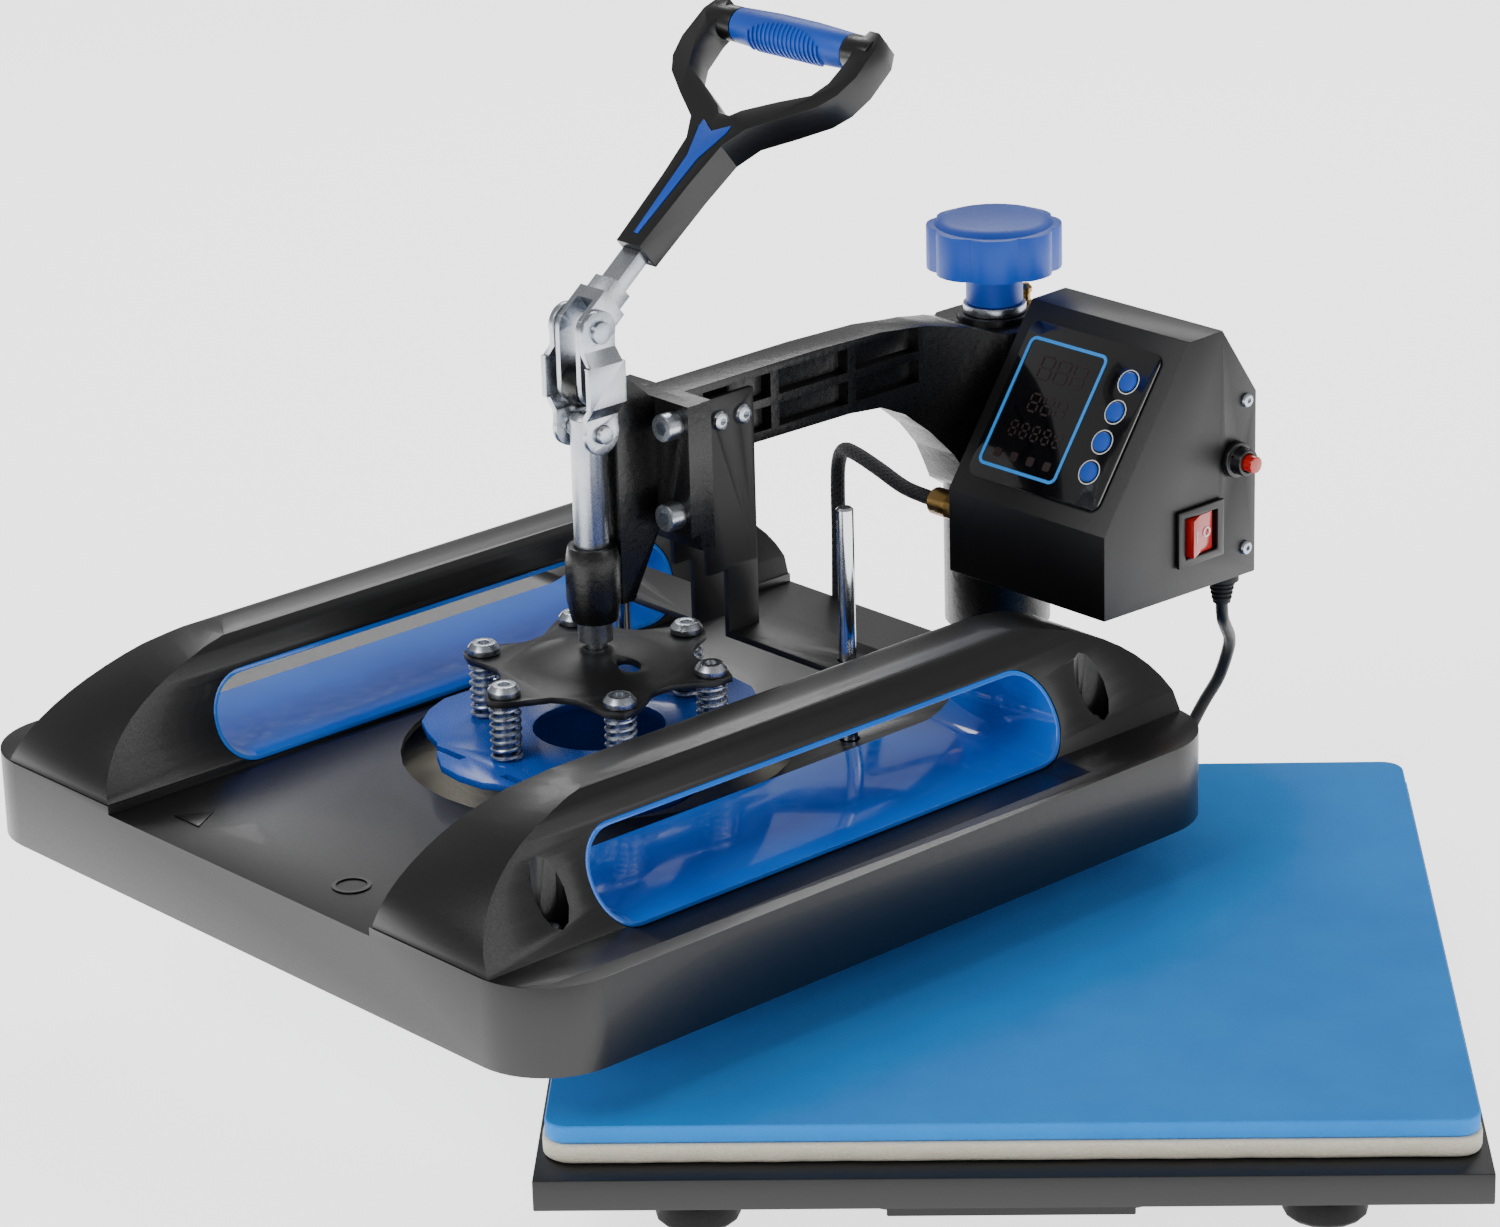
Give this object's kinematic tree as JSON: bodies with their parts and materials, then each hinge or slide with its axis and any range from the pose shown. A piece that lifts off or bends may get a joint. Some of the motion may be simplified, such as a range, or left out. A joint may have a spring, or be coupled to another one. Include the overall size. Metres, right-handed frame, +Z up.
{
  "type": "swing-away heat press",
  "caption": "Benchtop swing-away heat press with a square padded lower platen, a covered upper platen on a swinging arm, a toggle handle and a sloping control box.",
  "frame": {"origin": "bench surface under the middle of the machine, cord left out, with the arm swung aside", "axes": "+Z up, +X to the right and +Y to the back of the closed press"},
  "size_m": [0.6466, 0.5504, 0.4318],
  "materials": {
    "black_abs": "black moulded ABS, satin",
    "black_steel": "black powder-coated sheet steel",
    "black_casting": "black painted casting with an orange-peel skin",
    "zinc": "bright zinc plate",
    "chrome": "hard chromed round bar",
    "brass": "turned brass",
    "blue_plastic": "blue moulded nylon",
    "liner_blue": "glossy bright blue moulding",
    "spider_blue": "blue enamelled steel",
    "mat_blue": "bright blue silicone foam",
    "felt": "cream heat-resistant felt",
    "black_rubber": "black rubber",
    "aluminium": "machined cast aluminium",
    "insulation": "pressed mineral fibre board",
    "panel_gloss": "black gloss overlay",
    "signal_red": "translucent red polycarbonate",
    "board_green": "green circuit board"
  },
  "bodies": {
    "base": {"base_frame": "black_steel", "platen_tray": "black_steel", "felt_pad": "felt", "silicone_mat": "mat_blue", "post": "black_steel", "lead_nut": "brass", "power_cord_coil": "black_rubber", "power_cord_tail": "black_rubber", "mains_plug": "black_rubber", "foot_front_left": "black_rubber", "foot_front_right": "black_rubber", "foot_rear_left": "black_rubber", "foot_rear_right": "black_rubber"},
    "lift_carriage": {"lift_collar": "brass", "thrust_washer": "zinc"},
    "pressure_screw": {"lead_screw": "zinc", "pressure_knob": "blue_plastic"},
    "swing_arm": {"arm_casting": "black_casting", "clamp_casting": "black_casting", "guide_bracket_right": "black_steel", "guide_bracket_left": "black_steel", "box_shell": "black_steel", "box_back": "black_steel", "control_board": "board_green", "display_panel": "panel_gloss", "rocker_bezel": "black_abs", "breaker_bush": "black_abs", "cable_gland": "brass", "strain_relief": "black_rubber", "heater_cable": "black_rubber", "power_cord": "black_rubber"},
    "power_rocker": {"rocker_switch": "signal_red"},
    "breaker_reset": {"breaker_button": "signal_red"},
    "handle": {"handle_bar": "zinc", "handle_frame": "black_abs", "handle_grip": "blue_plastic"},
    "toggle_links": {"link_right": "zinc", "link_left": "zinc"},
    "plunger": {"plunger_rod": "zinc", "star_plate": "black_steel"},
    "upper_platen": {"heater_plate": "aluminium", "insulation_board": "insulation", "spider_plate": "spider_blue", "cover": "black_abs", "liner_right": "liner_blue", "liner_left": "liner_blue", "guide_rod_right": "chrome", "guide_rod_left": "chrome", "shoulder_screw_1": "zinc", "shoulder_screw_2": "zinc", "shoulder_screw_3": "zinc", "shoulder_screw_4": "zinc", "shoulder_screw_5": "zinc", "shoulder_screw_6": "zinc", "pressure_spring_1": "zinc", "pressure_spring_2": "zinc", "pressure_spring_3": "zinc", "pressure_spring_4": "zinc", "pressure_spring_5": "zinc", "pressure_spring_6": "zinc"}
  },
  "joints": [
    {"name": "arm_lift", "type": "slide", "parent": "base", "child": "lift_carriage", "axis": [0, 0, 1], "range_m": [0, 0.02]},
    {"name": "knob_turn", "type": "hinge", "parent": "lift_carriage", "child": "pressure_screw", "pos_m": [0.12928, 0.18342, 0.29], "axis": [0, 0, 1], "range_deg": [0, 3600]},
    {"name": "arm_swing", "type": "hinge", "parent": "lift_carriage", "child": "swing_arm", "pos_m": [0.12928, 0.18342, 0.15], "axis": [0, 0, 1], "range_deg": [-15, 45.57]},
    {"name": "handle_throw", "type": "hinge", "parent": "swing_arm", "child": "handle", "pos_m": [-0.05257, 0.00515, 0.29], "axis": [0.7, -0.7141, 0], "range_deg": [0, 125]},
    {"name": "plunger_slide", "type": "slide", "parent": "swing_arm", "child": "plunger", "axis": [0, 0, -1], "range_m": [0, 0.03639]},
    {"name": "link_swing", "type": "hinge", "parent": "plunger", "child": "toggle_links", "pos_m": [-0.05257, 0.00515, 0.2695], "axis": [0.7, -0.7141, 0], "range_deg": [0, 27.51]},
    {"name": "platen_float", "type": "slide", "parent": "plunger", "child": "upper_platen", "axis": [0, 0, 1], "range_m": [0, 0.01541], "deforming": ["pressure_spring_1", "pressure_spring_2", "pressure_spring_3", "pressure_spring_4", "pressure_spring_5", "pressure_spring_6"]},
    {"name": "power_rocker_tilt", "type": "hinge", "parent": "swing_arm", "child": "power_rocker", "pos_m": [0.21981, 0.08872, 0.187], "axis": [0, 0, -1], "range_deg": [0, 12]},
    {"name": "breaker_push", "type": "slide", "parent": "swing_arm", "child": "breaker_reset", "axis": [-0.7, 0.7141, 0], "range_m": [0, 0.003], "stiffness_N_per_m": 800}
  ],
  "couplings": [
    {"joint": "knob_turn", "follows": "arm_lift", "rad_per_m": 3141.6},
    {"joint": "plunger_slide", "follows": "handle_throw", "m_per_rad": 0.016678},
    {"joint": "link_swing", "follows": "handle_throw", "ratio": 0.22006},
    {"joint": "platen_float", "follows": "handle_throw", "m_per_rad": 0.0070621}
  ]
}
